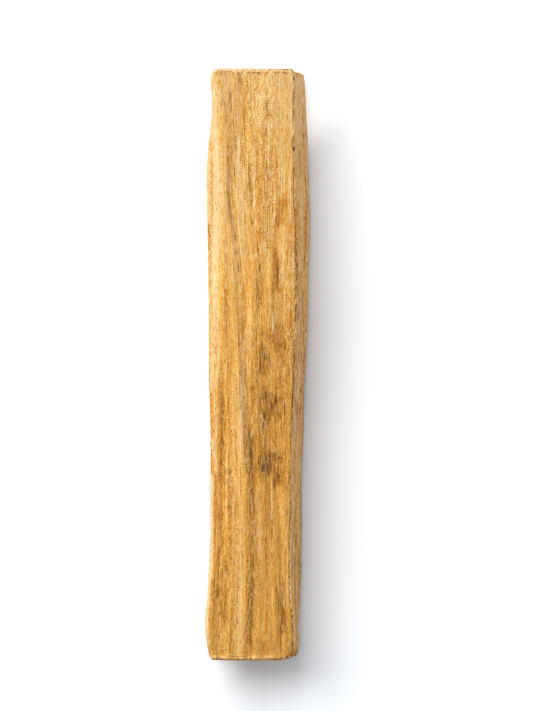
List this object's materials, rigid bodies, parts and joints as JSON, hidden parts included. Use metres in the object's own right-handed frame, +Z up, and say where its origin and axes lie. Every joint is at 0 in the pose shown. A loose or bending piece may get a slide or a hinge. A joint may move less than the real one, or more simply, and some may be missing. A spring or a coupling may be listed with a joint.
{
  "type": "palo santo stick",
  "caption": "Short split billet of aromatic wood with rough, grooved faces and square-sawn ends, lying on its flat underside.",
  "frame": {"origin": "middle of the stick's bounding box, on the flat underside", "axes": "+Y along the grain, towards the end with the broken right corner; +Z up out of the weathered top face; +X to the right, towards the sloping face"},
  "size_m": [0.0178, 0.1, 0.013],
  "materials": {
    "palo_santo_wood": "raw split wood, matt, with pale fibres and olive and brown streaks along the grain"
  },
  "bodies": {
    "root": {"palo_santo_stick": "palo_santo_wood"}
  },
  "joints": []
}
